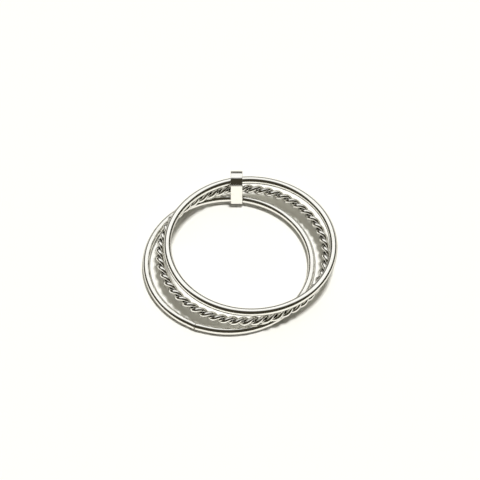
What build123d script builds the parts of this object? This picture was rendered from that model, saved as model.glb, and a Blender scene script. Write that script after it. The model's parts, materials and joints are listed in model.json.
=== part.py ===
from build123d import *
from math import asin, atan2, cos, degrees, pi, radians, sin, tan
import os

# Three wire rings held together by one small strip loop, the link.
# Origin: on the resting surface, below the centre of the bottom ring.
# +Z is up, and the link stands near the back (+Y) of the rings.

# Driving dimensions, in millimetres and degrees
wire_diameter = 3.0  # round wire of the two plain rings
strand_diameter = 1.85  # round wire of each rope strand
strand_gap = 0.05  # space between the two strands along the rope's middle
half_twists = 50  # half turns of the strand pair round the rope ring

ring_radius = 32.7  # centreline radius of all three rings

strip_width = 4.75
strip_thickness = 0.7
strip_edge_round = 0.18
low_bend_radius = 2.7  # outside radius of the link's bend under the bottom ring
top_bend_radius = 4.2  # outside radius of the link's bend over the top ring
front_lean = 17.0  # how far the link's front leans back from upright
front_length = 7.43  # from the low bend's centre up to the strip's outer end
lap_start = 5.2  # where the strip's inner end stops, measured the same way
lap_solder = 0.08  # solder between the lapped ends
top_bend_height = 6.54  # from the low bend's centre up to where the top bend starts
solder_inset = 0.3  # the solder stops short of the strip's edges

bottom_lift = 0.15  # play between the bottom ring and the strip under it
layer_gap = 0.22  # play between the bottom ring and the rope ring
rope_back = 2.021  # how far the rope ring lies behind the bottom ring, at the link
top_back = 1.36  # how far the top ring lies behind the rope ring, at the link
top_rise = 3.5  # how far the top ring lies above the rope ring, at the link
side_slope = -0.01  # the rope and top rings rise this much per millimetre towards +X

bottom_fan = -5.1  # where each ring's centre lies, as a turn about the link
rope_fan = 4.7
top_fan = 9.7

bottom_seam_angle = -112.6  # place of the bottom ring's joint, about its centre
bottom_corner = 7.0  # half the angle that the wire's straight ends make there
hidden_corner = 1.5  # the same at the neater joint of the top ring
seam_gap = 0.25  # solder between the ends of a plain ring
bead_rise = 0.03  # how far the solder stands proud of the wire
bead_round = 0.05
rope_seam_gap = 1.5  # solder joint that closes the rope
rope_bead_radius = 1.78
twist_start = 77.0  # turn of the strand pair where the rope's joint is, in degrees

points_per_half_twist = 6
direction_step = 0.0001  # half turns to each side, where a strand's direction is measured
cut_size = 6.0  # side of the block that cuts a ring open at its joint

# Sizes that follow
wire_radius = wire_diameter / 2
strand_radius = strand_diameter / 2
strand_orbit = (strand_diameter + strand_gap) / 2
rope_outer_radius = strand_orbit + strand_radius

bottom_back_z = strip_thickness + bottom_lift + wire_radius
ring_tilt = asin((bottom_back_z - wire_radius) / (2 * ring_radius))
ring_slope = tan(ring_tilt)
layer_rise = (wire_radius + rope_outer_radius + layer_gap) / cos(ring_tilt)

bottom_at_link = Vector(
    -ring_radius * sin(radians(bottom_fan)),
    ring_radius * cos(radians(bottom_fan)),
    bottom_back_z,
)
rope_at_link = bottom_at_link + Vector(0, rope_back, layer_rise + ring_slope * rope_back)
top_at_link = rope_at_link + Vector(0, top_back, top_rise)


def ring_plane(at_link, fan, rise_to_side):
    """A ring's plane: its origin is the ring's centre, its x runs with the row's x."""
    normal = Vector(-rise_to_side, -ring_slope, 1).normalized()
    inward = Vector(sin(radians(fan)), -cos(radians(fan)), 0)
    inward = (inward - normal * inward.dot(normal)).normalized()
    across = Vector(0, 1, 0).cross(normal)
    return Plane(at_link + inward * ring_radius, x_dir=across, z_dir=normal)


bottom_plane = ring_plane(bottom_at_link, bottom_fan, 0)
rope_plane = ring_plane(rope_at_link, rope_fan, side_slope)
top_plane = ring_plane(top_at_link, top_fan, side_slope)


def turned(plane, angle):
    """The same plane with its x turned about its own z."""
    x_dir = plane.x_dir * cos(radians(angle)) + plane.y_dir * sin(radians(angle))
    return Plane(plane.origin, x_dir=x_dir, z_dir=plane.z_dir)


def plain_ring(plane, seam_angle, corner):
    """A round wire bent to a ring, its straight ends meeting in a corner of 2 * corner."""
    seam_plane = turned(plane, seam_angle)
    apex = ring_radius / cos(radians(corner))
    start = (-ring_radius, 0)
    touch = (ring_radius * cos(radians(corner)), ring_radius * sin(radians(corner)))
    past_apex = (apex + wire_diameter * sin(radians(corner)), -wire_diameter * cos(radians(corner)))
    middle_angle = radians((180 + corner) / 2)
    middle = (ring_radius * cos(middle_angle), ring_radius * sin(middle_angle))
    with BuildPart() as ring:
        with BuildLine(seam_plane):
            ThreePointArc(start, middle, touch)
            Line(touch, past_apex)
        with BuildSketch(Plane(seam_plane.from_local_coords(Vector(start)), z_dir=seam_plane.y_dir)):
            Circle(wire_radius)
        sweep(transition=Transition.RIGHT)
        joint_plane = Plane(seam_plane.origin, z_dir=seam_plane.y_dir)
        split(bisect_by=joint_plane, keep=Keep.TOP)
        mirror(about=joint_plane)
        with Locations(seam_plane.location * Location((apex, 0, 0))):
            Box(cut_size, seam_gap, cut_size, mode=Mode.SUBTRACT)
    return ring


def plain_bead(plane, seam_angle, corner):
    """The solder between the ends of a plain ring, a thin disc a little proud of the wire."""
    seam_plane = turned(plane, seam_angle)
    apex = ring_radius / cos(radians(corner))
    middle = seam_plane.from_local_coords(Vector(apex, 0, 0))
    with BuildPart() as bead:
        with BuildSketch(Plane(middle, z_dir=seam_plane.y_dir)):
            Circle(wire_radius + bead_rise)
        extrude(amount=seam_gap / 2, both=True)
        fillet(bead.edges(), bead_round)
    return bead


def rope_point(half_turns, start_angle):
    """A point on a strand's centreline, counted in half turns from the rope's joint."""
    round_ring = 2 * pi * half_turns / half_twists
    twist = pi * half_turns + radians(start_angle)
    reach = ring_radius + strand_orbit * cos(twist)
    return Vector(reach * cos(round_ring), reach * sin(round_ring), strand_orbit * sin(twist))


def rope_direction(half_turns, start_angle):
    """The strand's direction there."""
    ahead = rope_point(half_turns + direction_step, start_angle)
    return ahead - rope_point(half_turns - direction_step, start_angle)


def strand_piece(number, start_angle):
    """Half a turn of one strand, as a closed solid."""
    steps = [number + i / points_per_half_twist for i in range(points_per_half_twist + 1)]
    ends = (rope_direction(steps[0], start_angle), rope_direction(steps[-1], start_angle))
    with BuildPart() as piece:
        with BuildLine():
            Spline(*[rope_point(step, start_angle) for step in steps], tangents=ends)
        with BuildSketch(Plane(rope_point(number, start_angle), z_dir=ends[0])):
            Circle(strand_radius)
        sweep()
    return piece.part


def rope_strand(plane, seam_angle, start_angle):
    """One strand of the left-handed rope, from one side of the rope's joint to the other."""
    seam_plane = turned(plane, seam_angle)
    pieces = [strand_piece(number, start_angle) for number in range(half_twists)]
    with BuildPart() as strand:
        add(pieces)
        with Locations((ring_radius, 0, 0)):
            Box(cut_size, rope_seam_gap, cut_size, mode=Mode.SUBTRACT)
    strand.part.locate(seam_plane.location)
    return strand


def rope_bead(plane, seam_angle):
    """The solder plug between the rope's ends."""
    seam_plane = turned(plane, seam_angle)
    middle = seam_plane.from_local_coords(Vector(ring_radius, 0, 0))
    with BuildPart() as bead:
        with BuildSketch(Plane(middle, z_dir=seam_plane.y_dir)):
            Circle(rope_bead_radius)
        extrude(amount=rope_seam_gap / 2, both=True)
        fillet(bead.edges(), bead_round)
    return bead


def on_outline(centre, radius, angle):
    """A point of the link's outline at this angle round a bend's centre."""
    return centre + Vector(cos(radians(angle)), sin(radians(angle))) * radius


# The link's outline stands square to the row's x, through the link's middle, and its
# local axes are the row's y and z. Up follows the front wall and out points off it.
link_profile = Plane((bottom_at_link.X, 0, 0), x_dir=(0, 1, 0), z_dir=(1, 0, 0))
front_up = Vector(sin(radians(front_lean)), cos(radians(front_lean)))
front_out = Vector(-front_up.Y, front_up.X)
front_angle = 180 - front_lean
low_middle_radius = low_bend_radius - strip_thickness / 2
top_middle_radius = top_bend_radius - strip_thickness / 2
low_centre = Vector(bottom_at_link.Y, low_bend_radius)
inner_step = strip_thickness + lap_solder
top_centre = (
    low_centre
    + front_up * top_bend_height
    - front_out * (top_bend_radius - low_bend_radius + inner_step)
)
between = top_centre - low_centre
back_slope = degrees(
    atan2(between.Y, between.X) - asin((top_bend_radius - low_bend_radius) / between.length)
)
back_angle = back_slope - 90


def on_link(point):
    """A point of the link's outline in the row's frame."""
    return link_profile.from_local_coords(point)


low_start = low_centre + front_out * low_middle_radius
top_end = top_centre + front_out * top_middle_radius
outer_end = on_link(low_start + front_up * front_length)
inner_end = on_link(top_end - front_up * (top_bend_height - lap_start))
low_arc = [
    on_link(on_outline(low_centre, low_middle_radius, angle))
    for angle in (front_angle, (front_angle + back_angle + 360) / 2, back_angle)
]
top_arc = [
    on_link(on_outline(top_centre, top_middle_radius, angle))
    for angle in (back_angle, (front_angle + back_angle) / 2, front_angle)
]

with BuildPart() as link_strip:
    with BuildLine():
        Line(outer_end, low_arc[0])
        ThreePointArc(*low_arc)
        Line(low_arc[-1], top_arc[0])
        ThreePointArc(*top_arc)
        Line(top_arc[-1], inner_end)
    with BuildSketch(Plane(outer_end, x_dir=(1, 0, 0), z_dir=low_arc[0] - outer_end)):
        Rectangle(strip_width, strip_thickness)
    sweep()
    end_faces = ShapeList(
        link_strip.faces().sort_by_distance(end)[0] for end in (outer_end, inner_end)
    )
    smooth_joins = link_strip.edges().filter_by(Axis.X) - end_faces.edges()
    fillet(link_strip.edges() - smooth_joins, strip_edge_round)

with BuildPart() as link_solder:
    solder_low = lap_start + solder_inset
    solder_high = front_length - solder_inset
    half_way = low_bend_radius - strip_thickness
    with BuildSketch(link_profile):
        with BuildLine():
            Polyline(
                low_centre + front_up * solder_low + front_out * (half_way + lap_solder),
                low_centre + front_up * solder_high + front_out * (half_way + lap_solder),
                low_centre + front_up * solder_high + front_out * (half_way - inner_step / 2),
                low_centre + front_up * solder_low + front_out * (half_way - inner_step / 2),
                close=True,
            )
        make_face()
    extrude(amount=strip_width / 2 - solder_inset, both=True)
    add(link_strip.part, mode=Mode.SUBTRACT)

bottom_ring = plain_ring(bottom_plane, bottom_seam_angle, bottom_corner)
bottom_ring_solder = plain_bead(bottom_plane, bottom_seam_angle, bottom_corner)
top_seam_angle = 90 + top_fan
top_ring = plain_ring(top_plane, top_seam_angle, hidden_corner)
top_ring_solder = plain_bead(top_plane, top_seam_angle, hidden_corner)
rope_seam_angle = 90 + rope_fan
rope_strand_a = rope_strand(rope_plane, rope_seam_angle, twist_start)
rope_strand_b = rope_strand(rope_plane, rope_seam_angle, twist_start + 180)
rope_ring_solder = rope_bead(rope_plane, rope_seam_angle)

pieces = {
    "bottom_ring_wire": bottom_ring,
    "bottom_ring_solder": bottom_ring_solder,
    "rope_strand_a": rope_strand_a,
    "rope_strand_b": rope_strand_b,
    "rope_ring_solder": rope_ring_solder,
    "top_ring_wire": top_ring,
    "top_ring_solder": top_ring_solder,
    "link_strip": link_strip,
    "link_solder": link_solder,
}
os.makedirs("parts", exist_ok=True)
for name, piece in pieces.items():
    piece.part.label = name
    export_step(piece.part, f"parts/{name}.step")


def in_metres(point):
    """A point as the joints and mounts state it."""
    return [round(value / 1000, 6) for value in point]


# Places and directions of the joints and mounts
print("bottom ring centre", in_metres(bottom_plane.origin), "axis", bottom_plane.z_dir)
print("rope ring at the link", in_metres(rope_at_link), "axis", rope_plane.z_dir)
top_tangent = top_plane.z_dir.cross((top_at_link - top_plane.origin).normalized())
print("top ring at the link", in_metres(top_at_link), "tangent", -top_tangent)
plate_middle = on_link(low_centre + front_out * low_bend_radius + front_up * front_length / 2)
plate_normal = on_link(front_out) - on_link(Vector(0, 0))
print("front plate middle", in_metres(plate_middle), "normal", plate_normal)
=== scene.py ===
import json
from math import asin, atan2, cos, degrees, pi, radians, sin

import bpy
import numpy as np
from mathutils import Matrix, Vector


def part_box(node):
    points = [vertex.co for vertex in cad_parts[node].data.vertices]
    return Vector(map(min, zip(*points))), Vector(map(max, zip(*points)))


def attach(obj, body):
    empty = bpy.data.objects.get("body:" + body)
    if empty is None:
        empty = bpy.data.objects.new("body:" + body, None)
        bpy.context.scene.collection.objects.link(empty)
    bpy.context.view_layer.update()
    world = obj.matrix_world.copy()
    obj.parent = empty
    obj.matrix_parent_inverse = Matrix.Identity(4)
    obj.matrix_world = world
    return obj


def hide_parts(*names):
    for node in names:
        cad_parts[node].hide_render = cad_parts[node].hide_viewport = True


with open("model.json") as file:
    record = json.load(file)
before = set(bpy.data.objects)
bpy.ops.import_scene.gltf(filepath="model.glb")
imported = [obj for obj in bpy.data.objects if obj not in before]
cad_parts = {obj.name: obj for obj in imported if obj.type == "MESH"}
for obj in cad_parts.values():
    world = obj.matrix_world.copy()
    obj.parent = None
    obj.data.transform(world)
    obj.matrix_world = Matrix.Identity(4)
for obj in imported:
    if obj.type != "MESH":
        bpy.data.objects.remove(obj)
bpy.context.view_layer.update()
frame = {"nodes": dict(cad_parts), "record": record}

# Three polished wire rings held by a small bent strip, in metres and degrees.
# The rings' places come from the frame. The sections and the link's bends are named here.

MM = 0.001

# The rings
ring_radius = 32.7 * MM
wire_radius = 1.5 * MM
strand_radius = 0.925 * MM
strand_orbit = 0.95 * MM  # from the rope's middle line to a strand's
half_twists = 50
bottom_corner = 7.0  # how much of the round each straight end takes up, beside the joint
hidden_corner = 1.5  # the same for the top ring, whose joint is inside the link
seam_gap = 0.25 * MM  # between a wire's ends, where the solder is
rope_seam_gap = 1.5 * MM
end_round = 0.12 * MM  # the filed ends of wire and strip are rounded this much

# The link's strip
strip_width = 4.75 * MM
strip_thickness = 0.7 * MM
strip_edge_round = 0.18 * MM
low_bend_radius = 2.7 * MM
top_bend_radius = 4.2 * MM
front_lean = 17.0  # away from the rings' middle, towards the top
front_length = 7.43 * MM
top_bend_height = 6.54 * MM  # from the low bend's centre, along the front
lap_start = 5.2 * MM  # from the low bend's centre to the inner lapped end
lap_solder = 0.08 * MM  # between the lapped ends

# How finely the meshes are divided
ring_stations = 540
stations_per_half_twist = 22
ring_sides = 56
strand_sides = 36
round_end_steps = 6
front_points, low_bend_points, back_points, top_bend_points, lap_points = 48, 60, 44, 72, 16
corner_points, wide_points, thin_points = 8, 25, 4
wide_spread = 0.6  # below 1, the points across the strip lie closer to its edges

# Colours of the metal
silver = (0.95, 0.94, 0.90)
tarnish = (0.62, 0.58, 0.46)
groove_shade_colour = (0.10, 0.095, 0.07)  # painted shade: the dark colour put in the rope's grooves, where a strand faces the rope's middle
solder_colour = (0.86, 0.84, 0.76)
rim_tint = (0.02, 0.02, 0.015)  # how much the surface reflects when seen nearly edge on

# Patterns: noise scale in cycles a metre, detail, and the stretch of each axis
wire_lines = (2600, 2.0, (1, 1, 0.03))
wire_waves = (190, 1.0, (1, 1, 0.6))
wire_clouds = (260, 3.0, (1, 1, 1))
strip_grain = (2400, 2.0, (1, 1, 0.04))
strip_waves = (420, 1.5, (1, 1, 1))
strip_clouds = (500, 3.0, (1, 1, 1))
solder_grain = (4200, 4.0, (1, 1, 1))

# Bumps: height and strength
line_bump = (0.0006 * MM, 0.5)
wire_wave_bump = (0.02 * MM, 0.6)
strip_wave_bump = (0.03 * MM, 0.8)
solder_bump = (0.006 * MM, 0.6)

# Amounts that follow a pattern: the least and the most, then the pattern's values for them
wire_stain = (0.0, 0.16, 0.52, 0.75)
strip_stain = (0.0, 0.14, 0.5, 0.75)
solder_stain = (0.0, 0.6, 0.3, 0.7)
strip_roughness = (0.07, 0.15, 0.3, 0.7)
solder_roughness = (0.16, 0.34, 0.3, 0.7)
groove_start, groove_full = 0.3, 0.9  # where the painted groove shade starts and where it is full, by how much a strand's surface faces the rope's middle
roughness_spread = 0.06
dull_clouds = (0.3, 0.7)  # the clouds' values for the least and the most roughness
plain_dullness, rope_dullness = 0.05, 0.07
# how strongly painted shade darkens the rope's grooves
rope_groove_shade_strength = 0.7

# The floor
floor_white = (0.93, 0.93, 0.915)
floor_half = 1.5
floor_level = -0.02 * MM
floor_roughness = 0.9

# The soft light overhead. Each edge fades between two directions, as x or y over height.
light_sides = (0.9, 1.1)
light_front = (-0.16, 0.11)
light_back = (1.7, 2.1)
light_colour = (1.05, 1.05, 1.03)
room_colour = (0.048, 0.043, 0.03)
horizon_colour = (0.25, 0.25, 0.24)
horizon_reach = (4.0, 12.0)
lowest_height = 0.02  # keeps the ratios finite at the horizon
fill_tint = (0.72, 0.69, 0.56)  # how much of it lights the floor, against what metal reflects

# The key light
key_power = 2.8
key_spread = 13.0
key_colour = (1.0, 0.99, 0.96)
key_direction = (0.15, 0.05, 1)

# The camera. Its lens and sensor are in millimetres, as Blender takes them.
camera_aim = (4.3 * MM, 12.81 * MM, 0)
camera_elevation = 51.75
camera_distance = 0.600
camera_lens, camera_sensor = 112, 36
camera_near, camera_far = 0.01, 20


# ---------------------------------------------------------------- measuring the frame

def node_points(*names):
    """The vertices of these CAD nodes, as rows of x, y and z."""
    meshes = [frame["nodes"][name].data for name in names]
    return np.concatenate([np.array([v.co for v in mesh.vertices]) for mesh in meshes])


class Ring:
    """A ring's centre and axes. Its x points from the centre to the ring's joint."""

    def __init__(self, centre, z, solder):
        self.centre, self.z = centre, z
        to_joint = np.array(sum(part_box(solder), Vector())) / 2 - self.centre
        to_joint -= self.z * (to_joint @ self.z)
        self.x = to_joint / np.linalg.norm(to_joint)
        self.y = np.cross(self.z, self.x)

    def place(self, local):
        """Points given in the ring's own axes, in the frame's."""
        return self.centre + self.turn(local)

    def turn(self, local):
        """Directions given in the ring's own axes, in the frame's."""
        return local @ np.array([self.x, self.y, self.z])

    def local(self, points):
        """Points given in the frame's axes, in the ring's own."""
        return (points - self.centre) @ np.array([self.x, self.y, self.z]).T


def joint(name):
    """The place and the axis of a joint, from the record."""
    found = [j for j in frame["record"]["behaviour"]["joints"] if j["name"] == name][0]
    return np.array(found["pos_m"]), np.array(found["axis"])


def to_middle(at_link, nodes):
    """The direction from a place on a ring to the middle of the ring's nodes."""
    towards = node_points(*nodes).mean(axis=0) - at_link
    return towards / np.linalg.norm(towards)


# ---------------------------------------------------------------- mesh building

def columns(*parts):
    """Rows made from arrays and numbers, one for each column."""
    return np.column_stack(np.broadcast_arrays(*parts))


def unit(rows):
    """The rows, each scaled to length 1."""
    return rows / np.linalg.norm(rows, axis=1, keepdims=True)


def skin(name, rows, attributes):
    """A closed mesh over rows of points, each row one section, with flat faces at its ends."""
    stations, sides = rows.shape[:2]
    index = np.arange(stations * sides).reshape(stations, sides)
    beside = np.roll(index, -1, axis=1)
    quads = np.stack([index[:-1], beside[:-1], beside[1:], index[1:]], axis=-1).reshape(-1, 4)
    faces = quads.tolist() + [index[0][::-1].tolist(), index[-1].tolist()]
    mesh = bpy.data.meshes.new(name)
    mesh.from_pydata(rows.reshape(-1, 3).tolist(), [], faces)
    mesh.shade_smooth()
    for key, values in attributes.items():
        values = np.asarray(values, np.float32).reshape(stations * sides, -1)
        kind, field = ("FLOAT", "value") if values.shape[1] == 1 else ("FLOAT_VECTOR", "vector")
        mesh.attributes.new(key, kind, "POINT").data.foreach_set(field, values.ravel())
    mesh.update()
    piece = bpy.data.objects.new(name, mesh)
    bpy.context.scene.collection.objects.link(piece)
    return piece


def end_rounding(travel, size):
    """How much smaller a section is near the ends of a bar, so that its edges are rounded."""
    to_end = np.minimum(travel, travel[-1] - travel)
    inside = np.clip(1 - to_end / size, 0, 1)
    return size * (1 - np.sqrt(1 - inside**2))


def with_round_ends(values, unit_length, size):
    """The parameter values, with extra ones close to both ends for the rounded edges."""
    near = size * (1 - np.cos(np.linspace(0, pi / 2, round_end_steps + 1)))
    near = near / unit_length
    first, last = values[0], values[-1]
    inner = values[(values > first + near[-1]) & (values < last - near[-1])]
    return np.concatenate([first + near, inner, last - near[::-1]])


def travel_along(points):
    """The distance along a line of points, at each of them."""
    steps = np.linalg.norm(np.diff(points, axis=0), axis=1)
    return np.concatenate([[0], np.cumsum(steps)])


def wire(name, centres, side, radius, sides):
    """A round wire along these centres. side is the direction of each section's first point."""
    travel = travel_along(centres)
    forward = unit(np.gradient(centres, travel, axis=0))
    side = unit(side - forward * np.sum(side * forward, axis=1, keepdims=True))
    up = np.cross(forward, side)
    turn = np.linspace(0, 2 * pi, sides, endpoint=False)
    reach = radius - end_rounding(travel, end_round)
    rows = (
        centres[:, None]
        + side[:, None] * (reach[:, None] * np.cos(turn))[..., None]
        + up[:, None] * (reach[:, None] * np.sin(turn))[..., None]
    )
    place = np.stack(
        np.broadcast_arrays(radius * np.cos(turn), radius * np.sin(turn), travel[:, None]), axis=-1
    )
    inward = np.broadcast_to(-np.cos(turn), rows.shape[:2])
    return skin(name, rows, {"wire_place": place, "inward": inward})


def plain_ring(name, ring, corner):
    """A round wire bent to a ring, whose straight ends meet in a slight corner at its joint."""
    apex = ring_radius / cos(radians(corner))
    straight = apex * sin(radians(corner))
    half_length = straight + ring_radius * (pi - radians(corner))
    travel = np.linspace(-half_length, half_length, ring_stations)
    cut = seam_gap / 2
    travel = travel[np.abs(travel) < half_length - cut]
    travel = np.concatenate([[cut - half_length], travel, [half_length - cut]])
    travel = with_round_ends(travel, 1.0, end_round)
    # the far side of the ring is at travel 0, and the joint is at both ends
    bent = np.clip(travel, straight - half_length, half_length - straight) / ring_radius
    over = travel - bent * ring_radius
    angle = pi + bent
    centres = columns(
        ring_radius * np.cos(angle) - over * np.sin(angle),
        ring_radius * np.sin(angle) + over * np.cos(angle),
        0,
    )
    outward = columns(np.cos(angle), np.sin(angle), 0)
    return wire(name, ring.place(centres), ring.turn(outward), wire_radius, ring_sides)


def rope_strand(name, ring, start):
    """One strand of the left-handed rope, as a helix round the ring's centreline."""
    cut = rope_seam_gap / 2 / ring_radius
    angle = np.linspace(cut, 2 * pi - cut, half_twists * stations_per_half_twist)
    angle = with_round_ends(angle, ring_radius, end_round)
    twist = half_twists * angle / 2 + start
    outward = columns(np.cos(angle), np.sin(angle), 0)
    offset = outward * np.cos(twist)[:, None] + columns(0, 0, np.sin(twist))
    centres = outward * ring_radius + offset * strand_orbit
    return wire(name, ring.place(centres), ring.turn(offset), strand_radius, strand_sides)


def strand_start(ring, node):
    """The strand's place round the rope where the joint is, measured on its CAD node."""
    points = ring.local(node_points(node))
    angle = np.arctan2(points[:, 1], points[:, 0]) % (2 * pi)
    offset = np.hypot(points[:, 0], points[:, 1]) - ring_radius + 1j * points[:, 2]
    return np.angle(np.mean(offset * np.exp(-1j * half_twists * angle / 2)))


# ---------------------------------------------------------------- the link's strip

def arc(centre, radius, first, last, count):
    """Points and outward directions round a bend, in the link's outline."""
    turn = np.radians(np.linspace(first, last, count))
    out = np.column_stack([np.cos(turn), np.sin(turn)])
    return centre + out * radius, out


def run(first, last, out, count):
    """Points along a straight stretch, all with the same outward direction."""
    share = np.linspace(0, 1, count)[:, None]
    return first + (last - first) * share, np.repeat([out], count, axis=0)


def link_outline(low_bend_y):
    """The middle line of the link's strip in y and z, and its outward directions."""
    lean = radians(front_lean)
    up, out = np.array([sin(lean), cos(lean)]), np.array([-cos(lean), sin(lean)])
    low_centre = np.array([low_bend_y, low_bend_radius])
    drop = top_bend_radius - low_bend_radius
    top_centre = low_centre + up * top_bend_height - out * (drop + strip_thickness + lap_solder)
    between = top_centre - low_centre
    back = degrees(atan2(between[1], between[0]) - asin(drop / np.linalg.norm(between))) - 90
    front = 180 - front_lean
    low, top = low_bend_radius - strip_thickness / 2, top_bend_radius - strip_thickness / 2
    low_bend = arc(low_centre, low, front, back + 360, low_bend_points)
    top_bend = arc(top_centre, top, back, front, top_bend_points)
    outer_end = low_bend[0][0] + up * front_length
    inner_end = top_bend[0][-1] - up * (top_bend_height - lap_start)
    stretches = [
        run(outer_end, low_bend[0][0], out, front_points),
        low_bend,
        run(low_bend[0][-1], top_bend[0][0], low_bend[1][-1], back_points),
        top_bend,
        run(top_bend[0][-1], inner_end, out, lap_points),
    ]
    points = np.concatenate([stretch[0][:-1] for stretch in stretches] + [stretches[-1][0][-1:]])
    outs = np.concatenate([stretch[1][:-1] for stretch in stretches] + [stretches[-1][1][-1:]])
    return points, outs


def strip_section():
    """A rounded rectangle, as normals and the points they start from."""
    half_width, half_thick = strip_width / 2, strip_thickness / 2
    bend = strip_edge_round
    corner = np.radians(np.linspace(0, 90, corner_points))
    wide = np.linspace(-1, 1, wide_points)[1:-1]
    wide = np.sign(wide) * np.abs(wide) ** wide_spread
    thin = np.linspace(-1, 1, thin_points)[1:-1]
    quarter = np.column_stack([np.cos(corner), np.sin(corner)])
    middle_x, middle_y = half_width - bend, half_thick - bend
    parts = []
    for turn, (sign_x, sign_y) in enumerate([(1, 1), (-1, 1), (-1, -1), (1, -1)]):
        spin = turn * pi / 2
        rotated = quarter @ np.array([[cos(spin), sin(spin)], [-sin(spin), cos(spin)]])
        parts.append(columns(*rotated.T, sign_x * middle_x, sign_y * middle_y))
        long_side = turn % 2 == 0
        spread = wide if long_side else thin
        direction = -sign_x if long_side else -sign_y
        reach = middle_x if long_side else middle_y
        line = spread * reach * direction
        normal = [0, sign_y] if long_side else [sign_x, 0]
        base = (line, sign_y * middle_y) if long_side else (sign_x * middle_x, line)
        parts.append(columns(*normal, *base))
    table = np.concatenate(parts)
    return table[:, :2], table[:, 2:]


def link_strip(name):
    """The strip bent into a closed loop with lapped ends."""
    low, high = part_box("link_strip")
    middle_x = (low.x + high.x) / 2
    points, outs = link_outline(low.y + low_bend_radius)
    travel = travel_along(points)
    stations = with_round_ends(travel, 1.0, end_round)
    y = np.interp(stations, travel, points[:, 0])
    z = np.interp(stations, travel, points[:, 1])
    out = unit(np.column_stack([np.interp(stations, travel, outs[:, k]) for k in (0, 1)]))
    inset = end_rounding(stations, end_round)
    normals, bases = strip_section()
    reach = strip_edge_round - inset
    across = bases[:, 0] + normals[:, 0] * reach[:, None]
    thick = bases[:, 1] + normals[:, 1] * reach[:, None]
    rows_y = y[:, None] + thick * out[:, :1]
    rows_z = z[:, None] + thick * out[:, 1:]
    rows = np.stack([middle_x + across, rows_y, rows_z], axis=-1)
    place = np.stack(np.broadcast_arrays(across, thick, stations[:, None]), axis=-1)
    edge = 1 - np.abs(normals).max(axis=1) ** 8
    edge = np.broadcast_to(edge, rows.shape[:2])
    return skin(name, rows, {"strip_place": place, "edge": edge})


# ---------------------------------------------------------------- materials

mix_first, mix_second, mix_result = 6, 7, 2  # the sockets of a Mix node that mixes colours


class Shading:
    """The steps that the materials and the world share, in one node tree."""

    def __init__(self, tree):
        self.nodes, self.links = tree.nodes, tree.links

    def add(self, kind):
        """A new node of this kind."""
        return self.nodes.new(f"ShaderNode{kind}")

    def feed(self, socket, value):
        """Sets a socket to a number or a colour, or links another socket to it."""
        if isinstance(value, bpy.types.NodeSocket):
            self.links.new(value, socket)
        elif isinstance(value, tuple):
            socket.default_value = (*value, 1)
        else:
            socket.default_value = value

    def attribute(self, name, output):
        """An output of one of the mesh's attributes."""
        node = self.add("Attribute")
        node.attribute_name = name
        return node.outputs[output]

    def noise(self, vector, scale, detail, stretch):
        """A noise texture over a vector, stretched by these factors."""
        mapping = self.add("Mapping")
        mapping.inputs["Scale"].default_value = stretch
        self.feed(mapping.inputs["Vector"], vector)
        texture = self.add("TexNoise")
        self.feed(texture.inputs["Scale"], scale)
        self.feed(texture.inputs["Detail"], detail)
        self.feed(texture.inputs["Vector"], mapping.outputs["Vector"])
        return texture.outputs["Fac"]

    def ranged(self, value, low, high, from_low, from_high):
        """A value mapped from one range to another, and clamped to it."""
        node = self.add("MapRange")
        self.feed(node.inputs["From Min"], from_low)
        self.feed(node.inputs["From Max"], from_high)
        self.feed(node.inputs["To Min"], low)
        self.feed(node.inputs["To Max"], high)
        self.feed(node.inputs["Value"], value)
        return node.outputs["Result"]

    def mixed(self, share, first, second, blend="MIX"):
        """A colour between two, by a value, the second laid on the first in the blend's way."""
        node = self.add("Mix")
        node.data_type = "RGBA"
        node.blend_type = blend
        self.feed(node.inputs["Factor"], share)
        self.feed(node.inputs[mix_first], first)
        self.feed(node.inputs[mix_second], second)
        return node.outputs[mix_result]

    def bumped(self, height, bump, below=None):
        """A normal bumped by a height, over another normal if one is given."""
        node = self.add("Bump")
        distance, strength = bump
        self.feed(node.inputs["Distance"], distance)
        self.feed(node.inputs["Strength"], strength)
        self.feed(node.inputs["Height"], height)
        if below is not None:
            self.feed(node.inputs["Normal"], below)
        return node.outputs["Normal"]

    def calculated(self, operation, first, second):
        """The result of a Math node."""
        node = self.add("Math")
        node.operation = operation
        self.feed(node.inputs[0], first)
        self.feed(node.inputs[1], second)
        return node.outputs["Value"]


def new_material(name):
    """A material, its shading steps and its Principled shader."""
    material = bpy.data.materials.new(name)
    material.use_nodes = True
    return material, Shading(material.node_tree), material.node_tree.nodes["Principled BSDF"]


def wire_silver(name, groove_shade_strength, dullness):
    """Polished silver wire: fine lines along it, soft waviness, a little tarnish, and for the rope
    painted shade in its grooves.
    """
    material, steps, shader = new_material(name)
    place = steps.attribute("wire_place", "Vector")
    inward = steps.attribute("inward", "Fac")
    lines = steps.noise(place, *wire_lines)
    waves = steps.noise(place, *wire_waves)
    clouds = steps.noise(place, *wire_clouds)
    steps.feed(shader.inputs["Metallic"], 1.0)
    steps.feed(shader.inputs["Specular Tint"], rim_tint)
    colour = steps.mixed(steps.ranged(clouds, *wire_stain), silver, tarnish)
    # painted shade: darker where a strand's surface faces the rope's middle, in the grooves
    if groove_shade_strength:
        groove_shade_mask = steps.ranged(inward, 0.0, groove_shade_strength, groove_start, groove_full)
        colour = steps.mixed(groove_shade_mask, colour, groove_shade_colour)
    roughness = steps.ranged(clouds, dullness, dullness + roughness_spread, *dull_clouds)
    steps.feed(shader.inputs["Base Color"], colour)
    steps.feed(shader.inputs["Roughness"], roughness)
    soft = steps.bumped(waves, wire_wave_bump)
    steps.feed(shader.inputs["Normal"], steps.bumped(lines, line_bump, soft))
    return material


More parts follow.
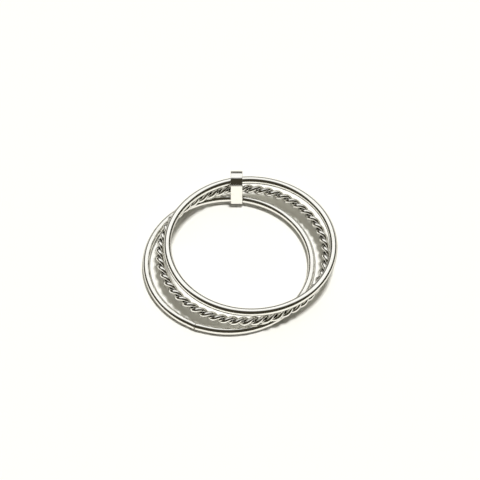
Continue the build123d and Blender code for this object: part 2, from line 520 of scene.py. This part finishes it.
def strip_silver(name):
    """Polished silver strip: rolled grain along it, brighter worn edges and light tarnish."""
    material, steps, shader = new_material(name)
    place = steps.attribute("strip_place", "Vector")
    edge = steps.attribute("edge", "Fac")
    grain = steps.noise(place, *strip_grain)
    waves = steps.noise(place, *strip_waves)
    clouds = steps.noise(place, *strip_clouds)
    steps.feed(shader.inputs["Metallic"], 1.0)
    steps.feed(shader.inputs["Specular Tint"], rim_tint)
    colour = steps.mixed(steps.ranged(clouds, *strip_stain), silver, tarnish)
    steps.feed(shader.inputs["Base Color"], steps.mixed(edge, colour, silver))
    steps.feed(shader.inputs["Roughness"], steps.ranged(clouds, *strip_roughness))
    soft = steps.bumped(waves, strip_wave_bump)
    steps.feed(shader.inputs["Normal"], steps.bumped(grain, line_bump, soft))
    return material


def solder_silver(name):
    """Filed silver solder: duller and yellower than the wire, with a fine grain."""
    material, steps, shader = new_material(name)
    grain = steps.noise(steps.add("TexCoord").outputs["Object"], *solder_grain)
    steps.feed(shader.inputs["Metallic"], 1.0)
    colour = steps.mixed(steps.ranged(grain, *solder_stain), solder_colour, tarnish)
    steps.feed(shader.inputs["Base Color"], colour)
    steps.feed(shader.inputs["Roughness"], steps.ranged(grain, *solder_roughness))
    steps.feed(shader.inputs["Normal"], steps.bumped(grain, solder_bump))
    return material


# ---------------------------------------------------------------- the pieces

def finish_piece(piece, body, node, material):
    """Puts a piece on its body, in place of its CAD node, with its material."""
    piece.data.materials.clear()
    piece.data.materials.append(material)
    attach(piece, body)
    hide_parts(node)


plain_silver = wire_silver("plain_wire_silver", 0.0, plain_dullness)
rope_silver = wire_silver("rope_wire_silver", rope_groove_shade_strength, rope_dullness)
link_silver = strip_silver("link_strip_silver")
solder = solder_silver("silver_solder")

strand_nodes = ["rope_strand_a", "rope_strand_b"]
bottom_centre, bottom_axis = joint("link_slide")
bottom = Ring(bottom_centre, bottom_axis, "bottom_ring_solder")
rope_place, rope_axis = joint("rope_ring_fan")
rope_inward = to_middle(rope_place, strand_nodes)
rope = Ring(rope_place + rope_inward * ring_radius, rope_axis, "rope_ring_solder")
top_place, lift_axis = joint("top_ring_lift")
top_inward = to_middle(top_place, ["top_ring_wire"])
top_axis = np.cross(lift_axis, top_inward)
top = Ring(top_place + top_inward * ring_radius, top_axis, "top_ring_solder")

finish_piece(
    plain_ring("bottom_ring_polished", bottom, bottom_corner),
    "bottom_ring", "bottom_ring_wire", plain_silver,
)
finish_piece(
    plain_ring("top_ring_polished", top, hidden_corner),
    "top_ring", "top_ring_wire", plain_silver,
)
for node in strand_nodes:
    strand = rope_strand(f"{node}_twisted", rope, strand_start(rope, node))
    finish_piece(strand, "rope_ring", node, rope_silver)
finish_piece(link_strip("link_strip_bent"), "link", "link_strip", link_silver)

for node in ("bottom_ring_solder", "rope_ring_solder", "top_ring_solder", "link_solder"):
    bead = frame["nodes"][node]
    bead.data.materials.clear()
    bead.data.materials.append(solder)


# ---------------------------------------------------------------- floor, light and camera

def floor():
    """A wide plain pale floor."""
    low, high = -floor_half, floor_half
    corners = [(x, y, floor_level) for x, y in ((low, low), (high, low), (high, high), (low, high))]
    mesh = bpy.data.meshes.new("floor")
    mesh.from_pydata(corners, [], [(0, 1, 2, 3)])
    sheet = bpy.data.objects.new("floor", mesh)
    bpy.context.scene.collection.objects.link(sheet)
    material, steps, shader = new_material("floor_white")
    steps.feed(shader.inputs["Base Color"], floor_white)
    steps.feed(shader.inputs["Roughness"], floor_roughness)
    steps.feed(shader.inputs["Specular IOR Level"], 0.0)
    mesh.materials.append(material)


def studio_light():
    """A soft rectangular light overhead, dark surroundings, and one smaller key light."""
    world = bpy.data.worlds.new("studio")
    bpy.context.scene.world = world
    world.use_nodes = True
    steps = Shading(world.node_tree)
    split = steps.add("SeparateXYZ")
    steps.feed(split.inputs["Vector"], steps.add("TexCoord").outputs["Generated"])
    height = steps.calculated("MAXIMUM", split.outputs["Z"], lowest_height)
    across = steps.calculated("DIVIDE", split.outputs["X"], height)
    across = steps.calculated("ABSOLUTE", across, 0.0)
    back = steps.calculated("DIVIDE", split.outputs["Y"], height)
    lit = steps.ranged(across, 1.0, 0.0, *light_sides)
    lit = steps.calculated("MULTIPLY", lit, steps.ranged(back, 0.0, 1.0, *light_front))
    lit = steps.calculated("MULTIPLY", lit, steps.ranged(back, 1.0, 0.0, *light_back))
    horizon = steps.ranged(back, 0.0, 1.0, *horizon_reach)
    sky = steps.mixed(lit, steps.mixed(horizon, room_colour, horizon_colour), light_colour)
    path = steps.add("LightPath")
    fill = steps.mixed(path.outputs["Is Diffuse Ray"], (1.0, 1.0, 1.0), fill_tint)
    sky = steps.mixed(1.0, sky, fill, "MULTIPLY")
    around, pale = steps.nodes["Background"], steps.add("Background")
    choose = steps.add("MixShader")
    steps.feed(around.inputs["Color"], sky)
    steps.feed(pale.inputs["Color"], floor_white)
    steps.feed(choose.inputs["Fac"], path.outputs["Is Camera Ray"])
    steps.feed(choose.inputs[1], around.outputs["Background"])
    steps.feed(choose.inputs[2], pale.outputs["Background"])
    steps.feed(steps.nodes["World Output"].inputs["Surface"], choose.outputs["Shader"])

    key = bpy.data.lights.new("key", "SUN")
    key.energy = key_power
    key.angle = radians(key_spread)
    key.color = key_colour
    lamp = bpy.data.objects.new("key", key)
    lamp.rotation_mode = "QUATERNION"
    lamp.rotation_quaternion = Vector(key_direction).to_track_quat("Z", "Y")
    lamp.visible_glossy = False  # the metal reflects only the soft light
    bpy.context.scene.collection.objects.link(lamp)


def camera():
    """A long lens from the front, looking down at the rings."""
    lens = bpy.data.cameras.new("camera")
    lens.lens, lens.sensor_width = camera_lens, camera_sensor
    lens.clip_start, lens.clip_end = camera_near, camera_far
    eye = bpy.data.objects.new("camera", lens)
    elevation = radians(camera_elevation)
    away = Vector((0, -cos(elevation), sin(elevation)))
    eye.location = Vector(camera_aim) + away * camera_distance
    eye.rotation_mode = "QUATERNION"
    eye.rotation_quaternion = (-away).to_track_quat("-Z", "Y")
    bpy.context.scene.collection.objects.link(eye)
    bpy.context.scene.camera = eye


floor()
studio_light()
camera()
bpy.context.scene.view_settings.view_transform = "Standard"
